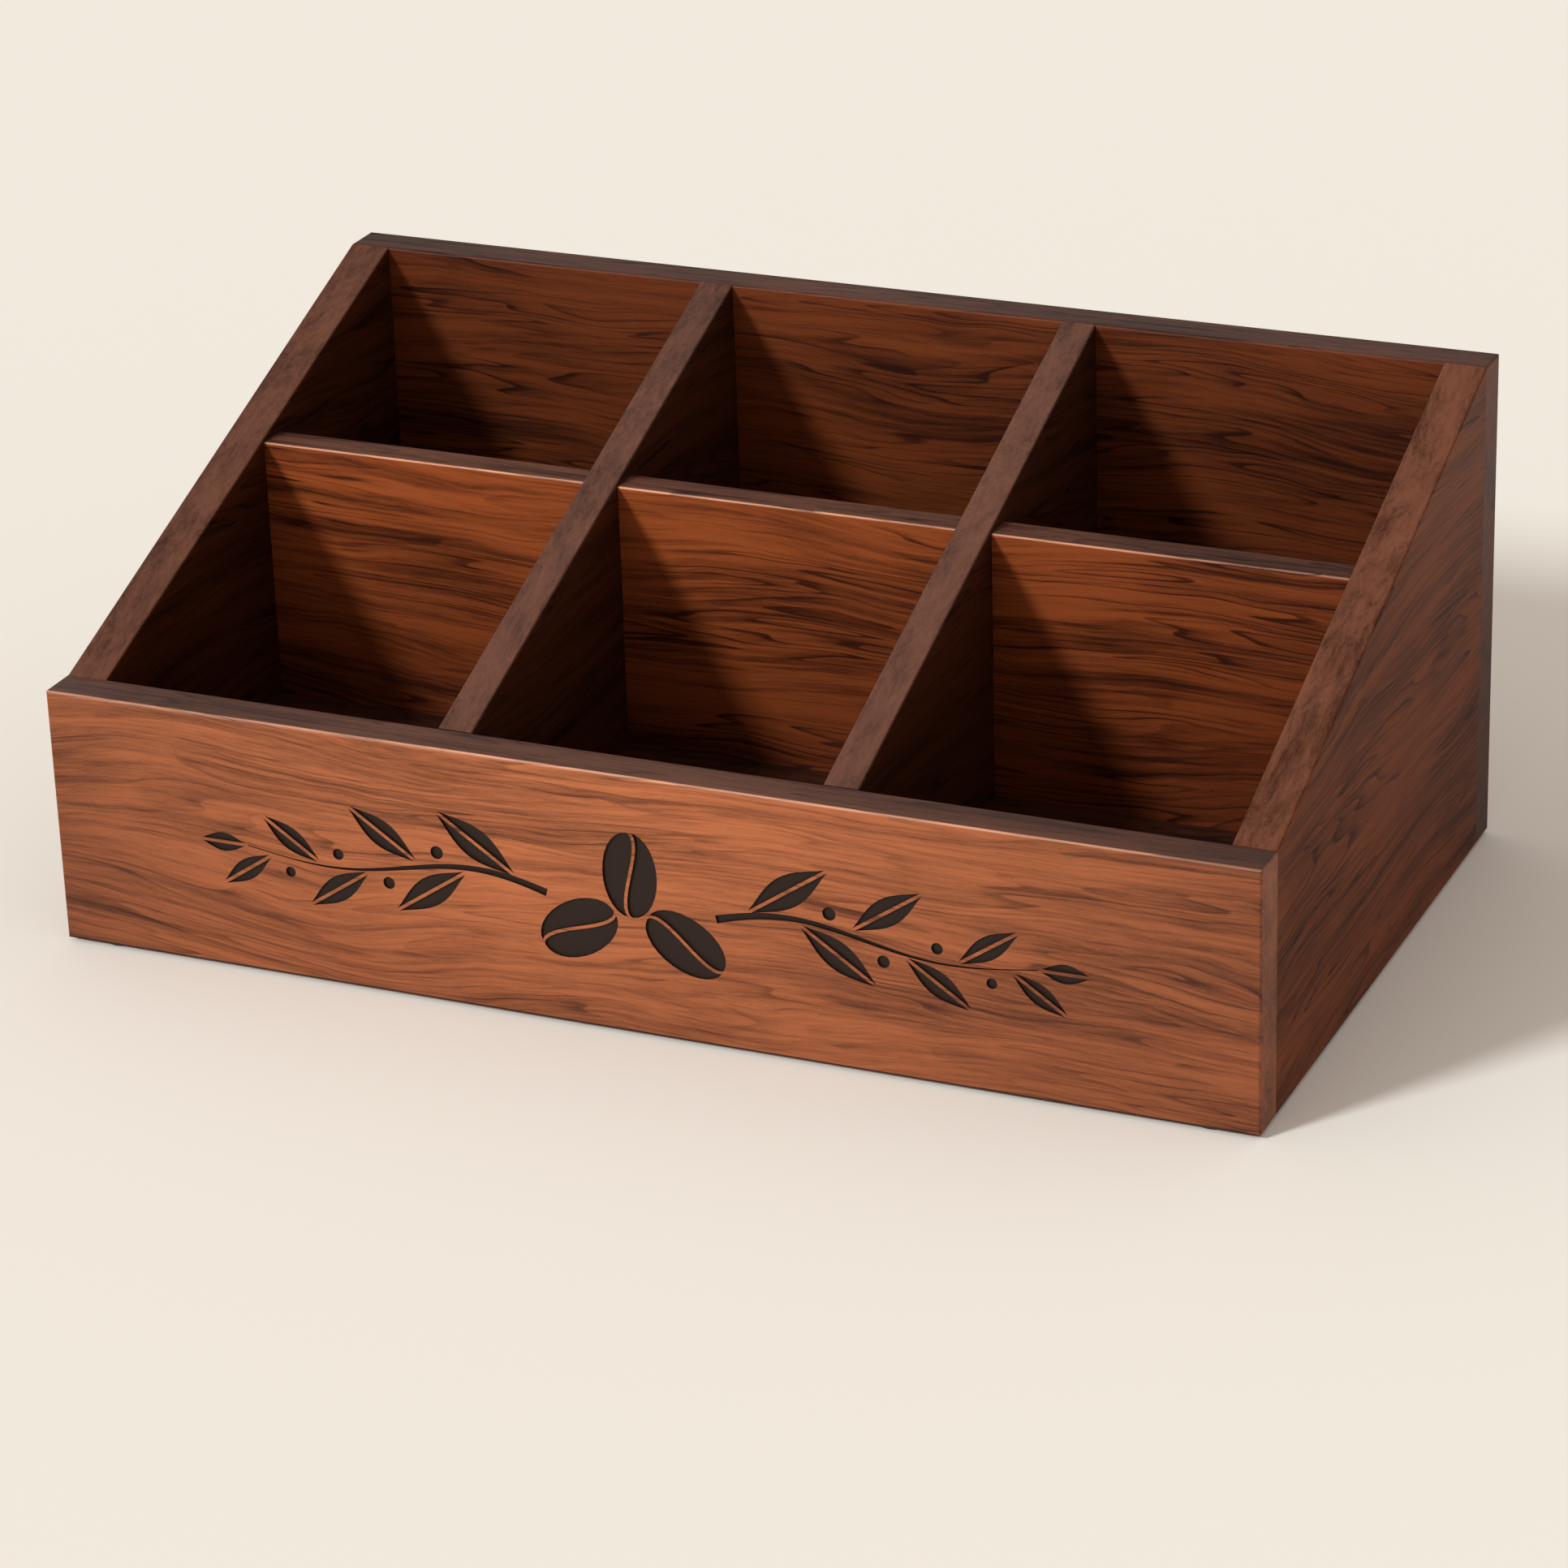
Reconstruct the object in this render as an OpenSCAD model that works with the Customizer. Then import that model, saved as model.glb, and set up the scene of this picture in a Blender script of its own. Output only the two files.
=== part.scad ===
// Six-compartment desktop caddy in walnut: a low front panel, a tall back panel, sloping sides and dividers
// between them, and a floor let into grooves. Everything is in millimetres. The origin is under the middle of
// the caddy, where it stands. +X is to the right, +Y to the back and +Z up.

/* [Compartments] */
// Clear width of each of the three columns
bay_w = 99; // [88:1:130]
// Clear depth of the front row
front_bay_d = 93; // [60:1:130]
// Clear depth of the back row
back_bay_d = 70; // [40:1:110]

/* [Case] */
// Height of the front panel
front_h = 73; // [64:1:95]
// Height of the back panel
back_h = 140; // [110:1:190]
// Thickness of the front, back and side boards
board_t = 12; // [10:0.5:18]
// Radius of the sanded arrises
arris_r = 0.8; // [0.3:0.1:1.5]

/* [Floor] */
// Thickness of the floor panel
floor_t = 6; // [4:0.5:9]
// Height of the floor's underside above the bottom edges of the case boards
floor_lift = 26; // [22:0.5:28]

/* [Dividers] */
// Thickness of the two long dividers and the cross divider
divider_t = 10; // [6:0.5:14]
// How far the cross divider's top lies below the sloping edges at its front face
cross_drop = 1; // [0:0.5:12]

/* [Joints] */
// Depth of the housings for the dividers and of the groove for the floor
housing_d = 4; // [2:0.5:6]
// Distance that a housing stops short of the top of its board
housing_stop = 12; // [6:0.5:20]
// Clearance on each side of a glued board in its housing, groove or lap
fit = 0.1; // [0.05:0.05:0.25]
// Diameter of the hidden corner dowels
dowel_d = 6; // [4:0.5:8]
// Length of the hidden corner dowels
dowel_l = 24; // [18:1:36]
// Depth that a dowel reaches into the front or back panel
dowel_in_panel = 7; // [5:0.5:8]
// Clearance between a dowel and its hole, on the radius
dowel_fit = 0.05; // [0.02:0.01:0.15]
// Glue room left past each end of a dowel
glue_room = 0.5; // [0.3:0.1:1.5]
// Height of the lowest dowel above the bottom edge
dowel_low = 12; // [8:0.5:16]
// Distance of the highest dowel below the top edge
dowel_high = 20; // [14:0.5:24]

/* [Engraving] */
// Depth of the engraved ornament
engrave_d = 0.7; // [0.3:0.1:1.5]
// Length of each engraved branch, from its root beside the beans to its tip
branch_l = 88; // [60:1:100]
// Greatest rise and fall of a branch about its middle line
branch_sway = 4; // [0:0.5:7]
// Width of a branch at its root
stem_w = 2.2; // [1.2:0.1:3.5]
// Length of the largest leaf
leaf_l = 27; // [18:0.5:30]
// Width of the largest leaf
leaf_w = 9; // [6:0.5:12]
// Width of the standing line down the middle of a leaf or bean
vein_w = 0.9; // [0.5:0.1:1.4]
// Length of an engraved bean
bean_l = 24; // [16:0.5:30]
// Width of an engraved bean
bean_w = 15.5; // [10:0.5:18]
// Radius of the engraved berries
berry_r = 1.9; // [1:0.1:2.4]

/* [Pads] */
// Diameter of the felt pads
pad_d = 9; // [6:0.5:9.5]
// Thickness of the felt pads
pad_t = 1; // [0.8:0.1:3]
// Distance of a pad's centre from the end of its panel
pad_inset = 14; // [8:0.5:30]

/* [Hidden] */
$fn = 48;

// Inside of the case
inner_w = 3 * bay_w + 2 * divider_t;
inner_d = front_bay_d + divider_t + back_bay_d;
case_w = inner_w + 2 * board_t;
case_d = inner_d + 2 * board_t;

// Levels, from the table up
floor_z = pad_t + floor_lift;
floor_top = floor_z + floor_t;
front_top = pad_t + front_h;
back_top = pad_t + back_h;

// The slope runs from the front panel's inner top edge to the back panel's
slope = atan2(back_h - front_h, inner_d);
slope_l = norm([inner_d, back_h - front_h]);

// Cross divider and the laps where it passes through the long dividers
cross_y = -inner_d / 2 + front_bay_d;
cross_top = front_top + front_bay_d * tan(slope) - cross_drop;
lap_z = (floor_top + cross_top) / 2;
divider_x = (bay_w + divider_t) / 2;

dowel_r = dowel_d / 2;
dowel_chamfer = 0.8;
past = 1; // how far a cutting shape runs past the face it cuts

// Rectangle from the origin with some corners rounded, from the low left one anticlockwise
module soft_rect(w, h, r, corners) {
    places = [[0, 0], [w, 0], [w, h], [0, h]];
    difference() {
        square([w, h]);
        for (i = [0:3])
            if (corners[i])
                translate(places[i])
                    rotate(90 * i)
                        difference() {
                            translate([-past, -past])
                                square(r + past);
                            translate([r, r])
                                circle(r);
                        }
    }
}

// Extrudes a profile drawn in Y and Z along X
module along_x(x0, x1) {
    translate([x0, 0, 0])
        rotate([90, 0, 90])
            linear_extrude(x1 - x0)
                children();
}

// Extrudes a profile drawn in X and Z along Y
module along_y(y0, y1) {
    translate([0, y1, 0])
        rotate([90, 0, 0])
            linear_extrude(y1 - y0)
                children();
}

// Full-width panel standing on its pads at the front, with the arrises of its outer face and top sanded round
module panel(h) {
    intersection() {
        along_x(-case_w / 2, case_w / 2)
            translate([-case_d / 2, pad_t])
                soft_rect(board_t, h, arris_r, [true, false, true, true]);
        along_y(-case_d / 2, -inner_d / 2)
            translate([-case_w / 2, pad_t])
                soft_rect(case_w, h, arris_r, [true, true, true, true]);
        translate([-case_w / 2, -case_d / 2, pad_t])
            linear_extrude(h)
                soft_rect(case_w, board_t, arris_r, [true, true, false, false]);
    }
}

// Board of thickness t from z0 up to the slope, between the two panels, with both top arrises sanded round
module sloped_board(t, z0) {
    intersection() {
        along_x(0, t)
            polygon([
                [-inner_d / 2, z0], [inner_d / 2, z0], [inner_d / 2, back_top], [-inner_d / 2, front_top],
            ]);
        translate([0, -inner_d / 2, front_top])
            rotate([slope, 0, 0])
                translate([0, 0, -back_top])
                    along_y(-back_top, slope_l + past)
                        soft_rect(t, back_top, arris_r, [false, false, true, true]);
    }
}

// Heights of n dowels in the end of a board of height h
function dowel_heights(h, n) = [
    for (i = [0:n - 1]) pad_t + dowel_low + (h - dowel_low - dowel_high) * i / (n - 1)
];
front_dowels = dowel_heights(front_h, 2);
back_dowels = dowel_heights(back_h, 3);

// A row of holes or dowels at the left front corner, running in Y, from y0 to y1 past the joint face
module dowel_holes(heights) {
    for (z = heights)
        translate([-(case_w - board_t) / 2, -inner_d / 2 - dowel_in_panel - glue_room, z])
            rotate([-90, 0, 0])
                cylinder(r = dowel_r + dowel_fit, h = dowel_l + 2 * glue_room);
}

// Dowels with chamfered ends in the holes above
module dowels(heights) {
    for (z = heights)
        translate([-(case_w - board_t) / 2, -inner_d / 2 - dowel_in_panel, z])
            rotate([-90, 0, 0]) {
                cylinder(r1 = dowel_r - dowel_chamfer, r2 = dowel_r, h = dowel_chamfer);
                translate([0, 0, dowel_chamfer])
                    cylinder(r = dowel_r, h = dowel_l - 2 * dowel_chamfer);
                translate([0, 0, dowel_l - dowel_chamfer])
                    cylinder(r1 = dowel_r, r2 = dowel_r - dowel_chamfer, h = dowel_chamfer);
            }
}

// Space that the floor panel takes up in the grooves round the case
module floor_groove() {
    translate([-inner_w / 2 - housing_d, -inner_d / 2 - housing_d, floor_z - fit])
        cube([inner_w + 2 * housing_d, inner_d + 2 * housing_d, floor_t + 2 * fit]);
}

// Housings for the two long dividers in a panel whose top is at z1, on the front side
module divider_housings(z1) {
    for (side = [-1, 1])
        translate([side * divider_x - divider_t / 2 - fit, -inner_d / 2 - housing_d, floor_top - fit])
            cube([divider_t + 2 * fit, housing_d + past, z1 - housing_stop - floor_top + fit]);
}

// Outline of a stroke whose middle line passes through the points, with half widths to suit
function side_of(p, half, way) = [
    for (i = [0:len(p) - 1])
        let (
            a = p[max(i - 1, 0)],
            b = p[min(i + 1, len(p) - 1)],
            d = (b - a) / norm(b - a)
        )
        p[i] + way * half[i] * [-d[1], d[0]]
];
function turned_round(list) = [for (i = [len(list) - 1:-1:0]) list[i]];

// Branch of the ornament: a gentle wave from its root to its tip, thinning as it goes
branch_root = bean_l; // distance of a branch's root from the middle of the panel
branch_steps = 36;
stem_tip = 0.15; // half width of a branch where it ends
function branch_at(t) = [branch_root + branch_l * t, branch_sway * sin(360 * t) * (1 - t / 2)];
function stem_half(t) = max(stem_tip, stem_w / 2 * (1 - t));
branch_line = [for (i = [0:branch_steps]) branch_at(i / branch_steps)];
branch_half = [for (i = [0:branch_steps]) stem_half(i / branch_steps)];

// Leaf lying along X from the origin: two arched halves with a straight vein left standing between them
half_steps = 14;
leaf_point = 1.2; // power of the sine that arches a leaf's edge: more than 1 draws its ends out to points
function half_leaf(l, w) = [
    for (i = [0:half_steps])
        let (t = i / half_steps)
        [l * t, vein_w / 2 + (w - vein_w) / 2 * pow(sin(180 * t), leaf_point)]
];

module leaf(l, w) {
    for (way = [0, 1])
        mirror([0, way])
            polygon(half_leaf(l, w));
}

leaf_count = 6;
leaf_spread = 34; // angle between a leaf and its branch
leaf_taper = 0.4; // share by which a leaf at the tip is smaller than one at the root
leaf_start = 0.45; // place of the first leaf, in steps between leaves
leaf_gap = 0.8; // wood left standing between a leaf and its branch
tip_leaf = 0.8; // length of the leaf at the tip, as a share of its neighbours'
berry_lead = 1.7; // how far past a leaf's root the berry on that side sits, in steps between leaves
berry_gap = 4; // distance of a berry from its branch

module branch() {
    polygon(concat(
        side_of(branch_line, branch_half, 1),
        turned_round(side_of(branch_line, branch_half, -1))
    ));
    for (i = [0:leaf_count - 1]) {
        t = (i + leaf_start) / leaf_count;
        up = i % 2 == 0 ? 1 : -1;
        size = 1 - leaf_taper * t;
        translate(branch_at(t))
            rotate(up * leaf_spread)
                translate([(stem_half(t) + leaf_gap) / sin(leaf_spread), 0])
                    leaf(leaf_l * size, leaf_w * size);
        if (i < leaf_count - 2)
            translate(branch_at(t + berry_lead / leaf_count) + [0, up * berry_gap])
                circle(berry_r * size);
    }
    translate(branch_at(1) + [leaf_gap, 0])
        leaf(leaf_l * (1 - leaf_taper) * tip_leaf, leaf_w * (1 - leaf_taper));
}

// Bean lying along X about the origin: an oval in two halves with a bowed seam left standing between them
seam_bow = 1.5;
function oval_at(t, half_w) = [-bean_l / 2 * cos(180 * t), half_w * sin(180 * t)];
function half_bean(way) = concat(
    [for (i = [0:half_steps]) oval_at(i / half_steps, way * (bean_w - vein_w) / 2)],
    [for (i = [half_steps - 1:-1:1]) oval_at(i / half_steps, 0) + [0, seam_bow * sin(360 * i / half_steps)]]
);

module bean() {
    for (way = [-1, 1])
        translate([0, way * vein_w / 2])
            polygon(half_bean(way));
}

// Three beans in a fan between two branches, drawn about the middle of the front panel
fan_out = 0.63 * bean_l; // distance of each lower bean to its side
fan_up = 0.36 * bean_l; // distance of the beans above and below the middle
bean_fan = [[-fan_out, -fan_up, 30], [0, fan_up, 90], [fan_out, -fan_up, -30]]; // across, up and turn of each

module ornament() {
    for (way = [0, 1])
        mirror([way, 0])
            branch();
    for (b = bean_fan)
        translate([b[0], b[1]])
            rotate(b[2])
                bean();
}

module engraving() {
    translate([0, -case_d / 2 + engrave_d, pad_t + front_h / 2])
        rotate([90, 0, 0])
            linear_extrude(engrave_d + past)
                ornament();
}

// Both ends of the floor's groove and the holes for the dowels at both ends of a full-width panel
module panel_joints(z1, heights) {
    floor_groove();
    divider_housings(z1);
    for (way = [0, 1])
        mirror([way, 0, 0])
            dowel_holes(heights);
}

module front_panel() {
    color("#8a4a2c")
        difference() {
            panel(front_h);
            panel_joints(front_top, front_dowels);
            engraving();
        }
}

module back_panel() {
    color("#84462a")
        mirror([0, 1, 0])
            difference() {
                panel(back_h);
                panel_joints(back_top, back_dowels);
            }
}

// Housing for the cross divider in the left side board
module cross_housing() {
    translate([-inner_w / 2 - housing_d, cross_y - fit, floor_top - fit])
        cube([housing_d + past, divider_t + 2 * fit, cross_top - housing_stop - floor_top + fit]);
}

module left_side() {
    color("#5f4030")
        difference() {
            intersection() {
                translate([-case_w / 2, 0, 0])
                    sloped_board(board_t, pad_t);
                along_y(-inner_d / 2, inner_d / 2)
                    translate([-case_w / 2, pad_t])
                        soft_rect(board_t, back_h, arris_r, [true, false, false, false]);
            }
            floor_groove();
            cross_housing();
            dowel_holes(front_dowels);
            mirror([0, 1, 0])
                dowel_holes(back_dowels);
        }
}

module right_side() {
    mirror([1, 0, 0])
        left_side();
}

module floor_panel() {
    edge = housing_d - fit;
    color("#4a2a1b")
        translate([-inner_w / 2 - edge, -inner_d / 2 - edge, floor_z])
            cube([inner_w + 2 * edge, inner_d + 2 * edge, floor_t]);
}

// Tongue at the front end of a long divider, up to a panel's top at z1
module divider_tongue(z1) {
    translate([0, -inner_d / 2 - housing_d + fit, floor_top])
        cube([divider_t, housing_d - fit + past, z1 - housing_stop - fit - floor_top]);
}

// Long divider, slotted from below so that its sloping top runs unbroken over the cross divider
module long_divider(side) {
    color("#6b3c27")
        translate([side * divider_x - divider_t / 2, 0, 0])
            difference() {
                union() {
                    sloped_board(divider_t, floor_top);
                    divider_tongue(front_top);
                    mirror([0, 1, 0])
                        divider_tongue(back_top);
                }
                translate([-past, cross_y - fit, floor_top - past])
                    cube([divider_t + 2 * past, divider_t + 2 * fit, lap_z - floor_top + past]);
            }
}

module left_divider() {
    long_divider(-1);
}

module right_divider() {
    long_divider(1);
}

// Cross divider, one board from side to side, slotted from above for the two long dividers
module cross_divider() {
    reach = inner_w / 2 + housing_d - fit;
    color("#7d4229")
        difference() {
            union() {
                along_x(-inner_w / 2, inner_w / 2)
                    translate([cross_y, floor_top])
                        soft_rect(divider_t, cross_top - floor_top, arris_r, [false, false, true, true]);
                translate([-reach, cross_y, floor_top])
                    cube([2 * reach, divider_t, cross_top - housing_stop - fit - floor_top]);
            }
            for (side = [-1, 1])
                translate([side * divider_x - divider_t / 2 - fit, cross_y - past, lap_z - fit])
                    cube([divider_t + 2 * fit, divider_t + 2 * past, cross_top - lap_z + fit + past]);
        }
}

module front_left_dowels() {
    color("#d3b489")
        dowels(front_dowels);
}

module front_right_dowels() {
    mirror([1, 0, 0])
        front_left_dowels();
}

module back_left_dowels() {
    color("#d3b489")
        mirror([0, 1, 0])
            dowels(back_dowels);
}

module back_right_dowels() {
    mirror([1, 0, 0])
        back_left_dowels();
}

// Felt pad under one corner, side being -1 or 1 in X and row -1 or 1 in Y
module pad(side, row) {
    color("#2e2723")
        translate([side * (case_w / 2 - pad_inset), row * (case_d - board_t) / 2, 0])
            cylinder(r = pad_d / 2, h = pad_t);
}

module front_left_pad() {
    pad(-1, -1);
}

module front_right_pad() {
    pad(1, -1);
}

module back_left_pad() {
    pad(-1, 1);
}

module back_right_pad() {
    pad(1, 1);
}

front_panel();
back_panel();
left_side();
right_side();
floor_panel();
left_divider();
right_divider();
cross_divider();
front_left_dowels();
front_right_dowels();
back_left_dowels();
back_right_dowels();
front_left_pad();
front_right_pad();
back_left_pad();
back_right_pad();
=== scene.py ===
import math

import bpy
import numpy as np
from mathutils import Matrix, Vector


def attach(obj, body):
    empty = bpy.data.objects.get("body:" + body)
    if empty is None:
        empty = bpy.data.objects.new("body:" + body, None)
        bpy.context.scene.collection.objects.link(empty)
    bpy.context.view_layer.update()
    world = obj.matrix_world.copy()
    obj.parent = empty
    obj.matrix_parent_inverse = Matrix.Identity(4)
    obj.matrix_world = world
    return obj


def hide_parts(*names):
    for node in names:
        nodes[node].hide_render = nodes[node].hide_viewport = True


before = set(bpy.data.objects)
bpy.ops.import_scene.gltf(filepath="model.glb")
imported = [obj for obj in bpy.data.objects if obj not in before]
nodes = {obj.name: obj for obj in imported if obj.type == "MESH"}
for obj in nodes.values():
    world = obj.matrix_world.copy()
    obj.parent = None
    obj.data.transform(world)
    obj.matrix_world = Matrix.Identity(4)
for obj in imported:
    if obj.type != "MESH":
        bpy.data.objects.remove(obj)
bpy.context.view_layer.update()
scene = bpy.context.scene
scene.view_settings.view_transform = "Standard"

# The camera stands a little to the right of the caddy's middle and looks down on it through a long lens.
# Its angles, its distance and the point that it looks at are in the object's own frame.
look_at = Vector((0.0, 0.0, 0.070))
azimuth, elevation, roll = 24.17, 23.84, 1.92
distance = 1.436
aim = (-0.0013, -0.0360)
lens = 122.0
sensor = 36.0


def camera_axes():
    """Right, up and backward directions, from the azimuth and elevation, rolled about the line of sight."""
    a, e, r = map(math.radians, (azimuth, elevation, roll))
    back = Vector((math.sin(a) * math.cos(e), -math.cos(a) * math.cos(e), math.sin(e)))
    right = Vector((math.cos(a), math.sin(a), 0.0))
    up = back.cross(right)
    return right * math.cos(r) - up * math.sin(r), up * math.cos(r) + right * math.sin(r), back


right, up, back = camera_axes()
camera = bpy.data.objects.new("camera", bpy.data.cameras.new("camera"))
camera.data.sensor_width = sensor
camera.data.lens = lens
camera.data.clip_start = 0.05
camera.data.clip_end = 20.0
place = look_at - right * aim[0] + up * aim[1] + back * distance
camera.matrix_world = Matrix((
    (right.x, up.x, back.x, place.x),
    (right.y, up.y, back.y, place.y),
    (right.z, up.z, back.z, place.z),
    (0.0, 0.0, 0.0, 1.0),
))
scene.collection.objects.link(camera)
scene.camera = camera

# A plain cream table runs out past the picture on every side.
# One low lamp at the front left gives the long soft-edged shadows, and a warm even world fills them.
table_half = 6.0
table_color = (0.905, 0.83, 0.753, 1.0)
lamp_travel = Vector((0.489, 0.719, -0.494))
lamp_strength = 2.75
lamp_color = (0.90, 0.98, 1.0)
lamp_softness = math.radians(10.0)
world_color = (1.0, 0.95, 0.90, 1.0)
world_strength = 0.60


def table_mesh():
    """A flat square about the origin, facing up."""
    corners = np.array([(-1, -1, 0), (1, -1, 0), (1, 1, 0), (-1, 1, 0)], float) * table_half
    mesh = bpy.data.meshes.new("table")
    mesh.from_pydata(corners.tolist(), [], [(0, 1, 2, 3)])
    return mesh


table = bpy.data.objects.new("table", table_mesh())
scene.collection.objects.link(table)
table_paint = bpy.data.materials.new("cream_table")
table_paint.use_nodes = True
paint = table_paint.node_tree.nodes["Principled BSDF"]
paint.inputs["Base Color"].default_value = table_color
paint.inputs["Roughness"].default_value = 0.9
paint.inputs["Specular IOR Level"].default_value = 0.1
table.data.materials.append(table_paint)

lamp = bpy.data.objects.new("lamp", bpy.data.lights.new("lamp", "SUN"))
lamp.data.energy = lamp_strength
lamp.data.color = lamp_color
lamp.data.angle = lamp_softness
lamp.rotation_mode = "QUATERNION"
lamp.rotation_quaternion = lamp_travel.to_track_quat("-Z", "Y")
scene.collection.objects.link(lamp)

world = bpy.data.worlds.new("studio")
world.use_nodes = True
world.node_tree.nodes["Background"].inputs["Color"].default_value = world_color
world.node_tree.nodes["Background"].inputs["Strength"].default_value = world_strength
scene.world = world

# The front panel is a 12 mm walnut board across the full width, its grain running along it.
# It is planed and oiled to a satin finish, and two coffee branches with beans are burnt into its face.
# Its walnut is one solid wood on object coordinates in mm, which every board below cuts at its own place.
mm = 1000.0
board_step = (371.0, 53.0, 97.0)
front_color = (0.325, 0.091, 0.031)
outer_color = (0.175, 0.056, 0.022)
# Painted shade: the narrow tops are coloured darker than the front, for the shade that falls on them.
painted_top_shade = (0.102, 0.036, 0.020)
# Painted shade: the inner faces are coloured much darker, for the shade inside the case.
painted_inner_shade = (0.042, 0.0095, 0.0025)
# Painted highlight: a pale salmon line along the front top edges, for the glint there.
painted_arris_highlight = (0.52, 0.23, 0.135)
# Painted shadow: a near-black line along the front panel's lower front edge, for the shadow under its foot.
painted_foot_shadow = (0.030, 0.010, 0.005)
dark_tint = (0.22, 0.18, 0.17)
light_tint = (1.42, 1.46, 1.50)

# How far the grain wanders, in mm, and how much each layer of the wood changes its tone.
sway_reach, wobble_reach, ripple_reach = 34.0, 6.0, 1.6
ring_count = 17.0
base_tone = 0.62
streak_weight, fine_weight, fibre_weight, cloud_weight = 1.50, 1.30, 0.90, 0.34
late_weight, pore_weight = 0.20, 0.16
tone_low, tone_high = -0.25, 1.25
satin_rough, rough_spread = 0.40, 0.14
pore_depth = 0.8
grain_relief, relief_height = 0.22, 0.0002

# The ways that a face can look, and how squarely it has to look that way to take a colour.
front, rear, leftward, rightward, upward = (0, -1, 0), (0, 1, 0), (-1, 0, 0), (1, 0, 0), (0, 0, 1)
front_arris = (0, -0.7071, 0.7071)
lower_arris = (0, -0.7071, -0.7071)
any_turn, side_turn, top_turn, slope_turn = (0.0, 0.0), (0.4, 0.8), (0.6, 0.9), (0.6, 0.85)
arris_turn, lower_turn = (0.90, 0.99), (0.72, 0.80)

# The engraving lies just behind the front face, in mm.
burnt_color = (0.015, 0.006, 0.003)
front_face_y = -98.5
burn_start, burn_full, burn_end = 0.10, 0.30, 1.5
branch_center_z, branch_half_x, branch_half_z = 37.5, 130.0, 26.0


def shader(tree, kind, inputs, outlet=0, **settings):
    """One shader node with its settings and inputs, linked where the input is a socket; gives its output."""
    node = tree.nodes.new(kind)
    for key, value in settings.items():
        setattr(node, key, value)
    for key, value in inputs.items():
        if isinstance(value, bpy.types.NodeSocket):
            tree.links.new(value, node.inputs[key])
        else:
            node.inputs[key].default_value = value
    return node.outputs[outlet]


def sums(tree, operation, a, b=0.0, c=0.0):
    """One math node on up to three numbers or sockets."""
    return shader(tree, "ShaderNodeMath", {0: a, 1: b, 2: c}, operation=operation)


def ramp(tree, value, low, high):
    """A smooth step of a value from 0 at low to 1 at high."""
    inputs = {"Value": value, "From Min": low, "From Max": high}
    return shader(tree, "ShaderNodeMapRange", inputs, interpolation_type="SMOOTHSTEP")


def blend(tree, factor, a, b, kind="MIX"):
    """Two colours mixed by a factor; the mix node's inputs 6 and 7 and its output 2 are its colours."""
    a, b = (x if isinstance(x, bpy.types.NodeSocket) else (*x, 1.0) for x in (a, b))
    inputs = {0: factor, 6: a, 7: b}
    return shader(tree, "ShaderNodeMix", inputs, outlet=2, data_type="RGBA", blend_type=kind)


def stretched(tree, place, along, across):
    """A place scaled by along per mm with the grain and by across per mm over it."""
    inputs = {0: place, 1: (along, across, across)}
    return shader(tree, "ShaderNodeVectorMath", inputs, operation="MULTIPLY")


def noise(tree, place, along, across, detail=2.0, rough=0.5):
    """Noise that varies along times per mm with the grain and across times per mm over it."""
    scaled = stretched(tree, place, along, across)
    inputs = {"Vector": scaled, "Scale": 1.0, "Detail": detail, "Roughness": rough}
    return shader(tree, "ShaderNodeTexNoise", inputs)


def layered(tree, below, pattern, weight, middle=0.5):
    """Adds a pattern's distance from its middle, times a weight, to what lies below."""
    return sums(tree, "MULTIPLY_ADD", pattern, weight, sums(tree, "SUBTRACT", below, middle * weight))


def facing(tree, normal, direction):
    """How squarely the surface looks in a direction, as the dot product of its normal and that direction."""
    inputs = {0: normal, 1: direction}
    return shader(tree, "ShaderNodeVectorMath", inputs, outlet="Value", operation="DOT_PRODUCT")


def grain_place(tree, grain, seed):
    """Object coordinates in mm, then the same with the grain's way first, moved to a board's own place."""
    split = tree.nodes.new("ShaderNodeSeparateXYZ")
    tree.links.new(shader(tree, "ShaderNodeTexCoord", {}, outlet="Object"), split.inputs[0])
    x, y, z = (sums(tree, "MULTIPLY", part, mm) for part in split.outputs)
    turned_parts = (x, y, z) if grain == "x" else (y, x, z)
    moved = [sums(tree, "ADD", part, step * seed) for part, step in zip(turned_parts, board_step)]
    return x, y, z, shader(tree, "ShaderNodeCombineXYZ", dict(enumerate(moved))), moved


def bent_wood(tree, log, moved):
    """The log's coordinates with the grain's wander added to the height: a sway, a wobble and a ripple."""
    sway = noise(tree, log, along=0.006, across=0.016, detail=1.0)
    wobble = noise(tree, log, along=0.015, across=0.050)
    ripple = noise(tree, log, along=0.050, across=0.14, detail=1.0)
    height = layered(tree, moved[2], sway, sway_reach)
    height = layered(tree, height, wobble, wobble_reach)
    height = layered(tree, height, ripple, ripple_reach)
    return shader(tree, "ShaderNodeCombineXYZ", {0: moved[0], 1: moved[1], 2: height})


def painted_falloff(tree, color, x, z, painted_light):
    """Painted shade: a colour that falls to a darker tint away from a bright patch, along an ellipse over
    the face.
    """
    far_x = sums(tree, "DIVIDE", sums(tree, "SUBTRACT", x, painted_light["x"]), painted_light["reach_x"])
    far_z = sums(tree, "DIVIDE", sums(tree, "SUBTRACT", z, painted_light["z"]), painted_light["reach_z"])
    far = sums(tree, "SQRT", sums(tree, "MULTIPLY_ADD", far_x, far_x, sums(tree, "MULTIPLY", far_z, far_z)))
    darker = blend(tree, 1.0, color, painted_light["shade_tint"], "MULTIPLY")
    return blend(tree, ramp(tree, far, low=0.0, high=1.0), color, darker)


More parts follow.
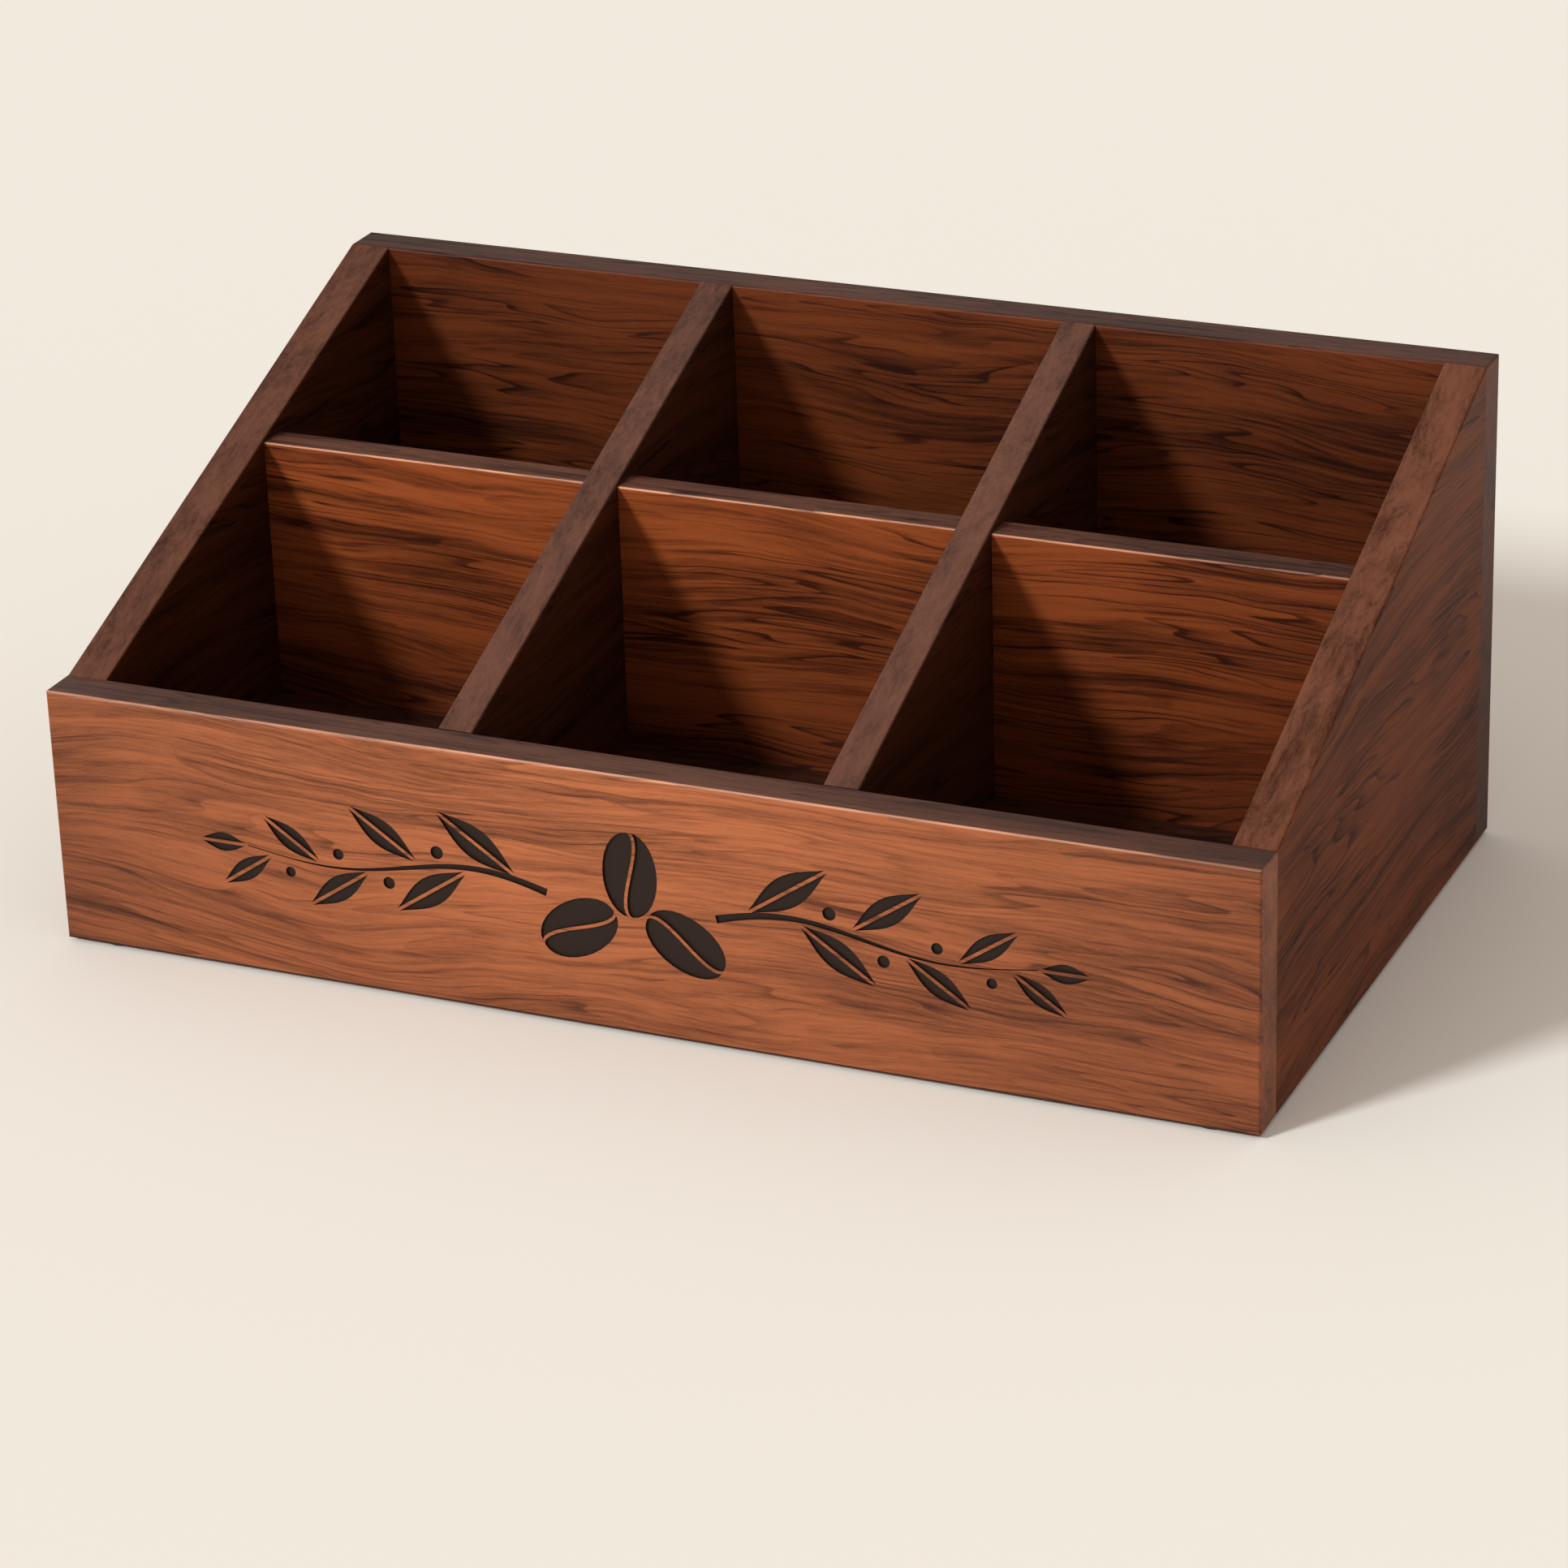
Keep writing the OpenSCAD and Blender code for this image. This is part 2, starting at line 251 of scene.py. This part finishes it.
def burnt(tree, color, x, y, z):
    """A colour with the burnt tone in the engraving: behind the front face, inside the branches' box."""
    depth = ramp(tree, y, low=front_face_y + burn_start, high=front_face_y + burn_full)
    inside = sums(tree, "LESS_THAN", y, front_face_y + burn_end)
    near_x = sums(tree, "LESS_THAN", sums(tree, "ABSOLUTE", x), branch_half_x)
    far_z = sums(tree, "ABSOLUTE", sums(tree, "SUBTRACT", z, branch_center_z))
    near_z = sums(tree, "LESS_THAN", far_z, branch_half_z)
    cut = sums(tree, "MULTIPLY", depth, inside)
    box = sums(tree, "MULTIPLY", near_x, near_z)
    return blend(tree, sums(tree, "MULTIPLY", cut, box), color, burnt_color)


def walnut(name, grain, seed, faces, figure=1.0, lines=0.5, engraved=False, painted_light=None, gloss=0.22):
    """Oiled walnut: growth rings as bands of one slow noise, dark lines at the bands' ends, streaks, fibres
    and pores add up to a tone. Each face's colour is tinted by it. Faces are (direction, colour, turn), the
    first being the colour of the rest of the board; most face colours are painted shade and painted
    highlight.
    The falloff, when given, adds painted shade away from a bright patch on the face."""
    material = bpy.data.materials.new(name)
    material.use_nodes = True
    tree = material.node_tree
    bsdf = tree.nodes["Principled BSDF"]
    x, y, z, log, moved = grain_place(tree, grain, seed)
    wood = bent_wood(tree, log, moved)
    normal = shader(tree, "ShaderNodeNewGeometry", {}, outlet="Normal")

    # Growth rings: on the narrow sloping tops they would close into loops, so they fade out there.
    slow = noise(tree, wood, along=0.0045, across=0.085, rough=0.45)
    ring = sums(tree, "FRACT", sums(tree, "MULTIPLY", slow, ring_count))
    broad_face = ramp(tree, facing(tree, normal, upward), low=0.80, high=0.50) if grain == "y" else 1.0
    late = sums(tree, "MULTIPLY", ramp(tree, ring, low=0.30, high=0.92), broad_face)
    line = sums(
        tree, "MULTIPLY", ramp(tree, ring, low=0.74, high=0.93), ramp(tree, ring, low=1.0, high=0.96))
    gate = ramp(tree, noise(tree, wood, along=0.012, across=0.11), low=0.44, high=0.58)
    line = sums(tree, "MULTIPLY", sums(tree, "MULTIPLY", line, gate), broad_face)

    # Streaks, fine streaks, single fibres, soft clouds and open pores.
    streak = noise(tree, wood, along=0.0065, across=0.20, detail=3.0, rough=0.6)
    fine = noise(tree, wood, along=0.026, across=0.70, detail=4.0, rough=0.65)
    fibre = noise(tree, wood, along=0.110, across=2.6, detail=3.0, rough=0.65)
    cloud = ramp(tree, noise(tree, wood, along=0.013, across=0.040), low=0.36, high=0.66)
    cells = {"Vector": stretched(tree, wood, along=0.30, across=2.1), "Scale": 1.0}
    pore = ramp(tree, shader(tree, "ShaderNodeTexVoronoi", cells), low=0.30, high=0.10)

    tone = layered(tree, base_tone, streak, streak_weight * figure)
    tone = layered(tree, tone, fine, fine_weight * figure)
    tone = layered(tree, tone, fibre, fibre_weight)
    tone = layered(tree, tone, cloud, cloud_weight * figure)
    tone = layered(tree, tone, late, -late_weight * figure)
    tone = layered(tree, tone, line, -lines, middle=0.0)
    tone = layered(tree, tone, pore, -pore_weight, middle=0.0)
    tint = blend(tree, ramp(tree, tone, tone_low, tone_high), dark_tint, light_tint)

    color = faces[0][1]
    for direction, face_color, turn in faces[1:]:
        color = blend(tree, ramp(tree, facing(tree, normal, direction), *turn), color, face_color)
    color = blend(tree, 1.0, color, tint, "MULTIPLY")
    # Painted shade, darker away from a bright patch over the face.
    if painted_light:
        color = painted_falloff(tree, color, x, z, painted_light)
    if engraved:
        color = burnt(tree, color, x, y, z)
    tree.links.new(color, bsdf.inputs["Base Color"])
    rough = sums(tree, "MULTIPLY_ADD", fine, rough_spread, satin_rough)
    tree.links.new(rough, bsdf.inputs["Roughness"])
    bsdf.inputs["Specular IOR Level"].default_value = gloss
    relief = sums(tree, "MULTIPLY_ADD", pore, -pore_depth, sums(tree, "ADD", fibre, fine))
    bumps = {"Strength": grain_relief, "Distance": relief_height, "Height": relief}
    tree.links.new(shader(tree, "ShaderNodeBump", bumps), bsdf.inputs["Normal"])
    return material


def dress(name, material):
    """Puts a material on every slot of a board of the frame."""
    for slot in nodes[name].material_slots:
        slot.material = material


# Painted shade: the front panel's rear face and top are coloured darker, and its front face grows darker
# away from a bright patch a little left of the middle near its top. Its front top edge takes a painted
# highlight and its lower front edge a painted shadow.
dress("front_panel", walnut(
    "walnut_front_panel", "x", 1.0,
    [(front, front_color, any_turn), (rear, painted_inner_shade, side_turn), (upward, painted_top_shade, top_turn),
     (front_arris, painted_arris_highlight, arris_turn), (lower_arris, painted_foot_shadow, lower_turn)],
    figure=0.90, lines=0.24, engraved=True,
    painted_light={"x": -20.0, "z": 66.0, "reach_x": 240.0, "reach_z": 110.0, "shade_tint": (0.58, 0.54, 0.52)}))

# The back panel is the tallest board, 12 mm walnut with its grain along the width.
# Its inner face is painted darker than the front panel, as shade, and painted shade makes it darkest towards
# the floor.
painted_back_shade = (0.104, 0.0210, 0.0045)
painted_back_top_shade = (0.072, 0.024, 0.013)
dress("back_panel", walnut(
    "walnut_back_panel", "x", 2.3,
    [(front, painted_back_shade, any_turn), (rear, outer_color, side_turn), (upward, painted_back_top_shade, top_turn)],
    figure=1.15, lines=0.55, gloss=0.12,
    painted_light={"x": 0.0, "z": 140.0, "reach_x": 440.0, "reach_z": 140.0, "shade_tint": (0.44, 0.39, 0.35)}))

# The two sides are 12 mm boards butted between the front and back panels, their tops cut to the slope.
# Their grain runs from front to back, and their outer faces are duller and browner than the front.
# Painted shade: the sides' inner faces and sloping tops are coloured darker than their outer faces.
side_color = (0.122, 0.030, 0.0095)
painted_right_top_shade = (0.118, 0.040, 0.021)
dress("left_side", walnut(
    "walnut_left_side", "y", 3.1,
    [(leftward, outer_color, any_turn), (rightward, painted_inner_shade, side_turn),
     (upward, painted_top_shade, slope_turn)],
    figure=1.0, lines=0.45, gloss=0.10))
dress("right_side", walnut(
    "walnut_right_side", "y", 4.7,
    [(rightward, side_color, any_turn), (leftward, painted_inner_shade, side_turn),
     (upward, painted_right_top_shade, slope_turn)],
    figure=1.1, lines=0.35, gloss=0.04))

# The floor is a 6 mm walnut panel held in a groove round the case, with its grain along the width.
# It goes in before the case is closed, and is painted about as dark as the inner faces of the sides, as
# shade.
painted_floor_shade = (0.040, 0.010, 0.003)
dress("floor_panel", walnut("walnut_floor_panel", "x", 5.9, [(upward, painted_floor_shade, any_turn)], lines=0.4))

# The two long dividers are 10 mm walnut boards that run from the front panel to the back panel.
# They are slotted from below where the cross divider passes, and their tops follow the slope of the sides.
# Painted shade: the dividers take the dark colour of the inner faces all over, and the darker colour of the
# tops on top.
for seed, name in ((6.3, "left_divider"), (7.7, "right_divider")):
    dress(name, walnut(
        "walnut_" + name, "y", seed,
        [(leftward, painted_inner_shade, any_turn), (upward, painted_top_shade, slope_turn)],
        figure=0.9, lines=0.45))

# The cross divider is one level 10 mm walnut board across all three columns, slotted from above so that
# the long dividers pass over it. Its front top edge takes a painted highlight, and its front face shows the
# strongest figure of all the boards. That face is painted darker than the front panel as shade, and painted
# shade darkens it further towards the bottom.
painted_cross_shade = (0.220, 0.046, 0.0105)
dress("cross_divider", walnut(
    "walnut_cross_divider", "x", 8.2,
    [(front, painted_cross_shade, any_turn), (rear, painted_inner_shade, side_turn), (upward, painted_top_shade, top_turn),
     (front_arris, painted_arris_highlight, arris_turn)],
    figure=1.25, lines=0.6, gloss=0.12,
    painted_light={"x": -110.0, "z": 108.0, "reach_x": 500.0, "reach_z": 92.0, "shade_tint": (0.38, 0.33, 0.29)}))

# Ten beech dowels, 6 mm thick with glue flutes and chamfered ends, hold the corners of the case.
# They are hidden in their holes, two at each front corner and three at each back corner.
dowel_r = 0.003
flute_depth = 0.00018
flute_count = 16
dowel_chamfer = 0.0008
dowel_tip = 0.80
dowel_sides = 96
dowel_x = 0.1645
dowel_near_y, dowel_far_y = 0.0695, 0.0935
dowel_heights = {"front": (0.013, 0.054), "back": (0.013, 0.067, 0.121)}
beech_low, beech_high = (0.48, 0.29, 0.14), (0.62, 0.41, 0.22)


def matt(name, low_color, high_color, along, across, grain, rough):
    """A matt material: one stretched noise varies its colour between two tones and is its relief."""
    material = bpy.data.materials.new(name)
    material.use_nodes = True
    tree = material.node_tree
    bsdf = tree.nodes["Principled BSDF"]
    place = grain_place(tree, grain, 0.0)[3]
    pattern = noise(tree, place, along, across, detail=3.0, rough=0.6)
    color = blend(tree, ramp(tree, pattern, low=0.3, high=0.7), low_color, high_color)
    tree.links.new(color, bsdf.inputs["Base Color"])
    bumps = {"Strength": 0.4, "Distance": relief_height, "Height": pattern}
    tree.links.new(shader(tree, "ShaderNodeBump", bumps), bsdf.inputs["Normal"])
    bsdf.inputs["Roughness"].default_value = rough
    bsdf.inputs["Specular IOR Level"].default_value = 0.2
    return material


def turned(radius, heights, center, axis):
    """Rings of points at the radius times the cosine and sine of the angle, one ring at each height along
    the axis. The radius is an array of rings by sides. Quads join ring to ring, and a flat face closes
    each end. Gives the points, the quads and the ends."""
    rings, sides = radius.shape
    angle = np.linspace(0.0, 2.0 * np.pi, sides, endpoint=False)
    across, over = radius * np.cos(angle), radius * np.sin(angle)
    along = np.broadcast_to(np.array(heights)[:, None], radius.shape)
    order = (across, along, over) if axis == "y" else (across, over, along)
    points = np.stack(order, axis=2).reshape(-1, 3) + np.array(center)
    step = np.arange(sides)
    here = np.arange(rings - 1)[:, None] * sides + step
    following = np.arange(rings - 1)[:, None] * sides + (step + 1) % sides
    quads = np.stack((following, here, here + sides, following + sides), axis=2).reshape(-1, 4)
    ends = np.stack((step, (rings - 1) * sides + step[::-1]))
    if axis == "y":
        return points, quads, ends
    return points, quads[:, ::-1], ends[:, ::-1]


def turned_piece(name, forms, material, node):
    """One object made of several turned forms, which takes the place of a node of the frame."""
    faces, smooth, first = [], [], 0
    for points, quads, ends in forms:
        faces += (ends + first).tolist() + (quads + first).tolist()
        smooth += [False] * len(ends) + [True] * len(quads)
        first += len(points)
    mesh = bpy.data.meshes.new(name)
    mesh.from_pydata(np.concatenate([form[0] for form in forms]).tolist(), [], faces)
    mesh.polygons.foreach_set("use_smooth", smooth)
    mesh.materials.append(material)
    piece = bpy.data.objects.new(name, mesh)
    scene.collection.objects.link(piece)
    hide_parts(node)
    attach(piece, "root")


def fluted_radius():
    """The dowel's radius less a cosine wave of flutes round it, for its four rings. The first and the last
    ring are drawn in."""
    angle = np.linspace(0.0, 2.0 * np.pi, dowel_sides, endpoint=False)
    around = dowel_r - flute_depth * (0.5 - 0.5 * np.cos(flute_count * angle))
    return np.array((dowel_tip, 1.0, 1.0, dowel_tip))[:, None] * around


beech = matt("beech_dowel", beech_low, beech_high, along=0.05, across=1.4, grain="y", rough=0.6)
dowel_spans = {"front": (-dowel_far_y, -dowel_near_y), "back": (dowel_near_y, dowel_far_y)}
for end, (first_y, last_y) in dowel_spans.items():
    rings_y = (first_y, first_y + dowel_chamfer, last_y - dowel_chamfer, last_y)
    for hand, side_x in (("left", -dowel_x), ("right", dowel_x)):
        node = end + "_" + hand + "_dowels"
        centers = [(side_x, 0.0, height) for height in dowel_heights[end]]
        pegs = [turned(fluted_radius(), rings_y, center, "y") for center in centers]
        turned_piece("fluted_" + node, pegs, beech, node)

# Four pressed felt pads, 9 mm across and 1 mm thick, are stuck under the corners of the case.
# Their cut edges have softened with use, and their fibres are short and tangled.
pad_r = 0.0045
pad_t = 0.001
pad_edge = 0.0003
pad_sides = 48
pad_x, pad_y = 0.1565, 0.0925
felt_low, felt_high = (0.030, 0.024, 0.020), (0.085, 0.070, 0.058)


def pad_profile():
    """Radii and heights of a disc whose lower edge is a quarter circle of radius pad_edge."""
    turn = np.linspace(0.2, 0.5 * np.pi, 6)
    radii = np.concatenate(([pad_r - pad_edge], pad_r - pad_edge * (1.0 - np.sin(turn)), [pad_r]))
    heights = np.concatenate(([0.0], pad_edge * (1.0 - np.cos(turn)), [pad_t]))
    return np.repeat(radii[:, None], pad_sides, axis=1), heights


felt = matt("pressed_felt", felt_low, felt_high, along=1.6, across=1.6, grain="x", rough=0.95)
for end, center_y in (("front", -pad_y), ("back", pad_y)):
    for hand, center_x in (("left", -pad_x), ("right", pad_x)):
        node = end + "_" + hand + "_pad"
        disc = turned(*pad_profile(), (center_x, center_y, 0.0), "z")
        turned_piece("felt_" + node, [disc], felt, node)
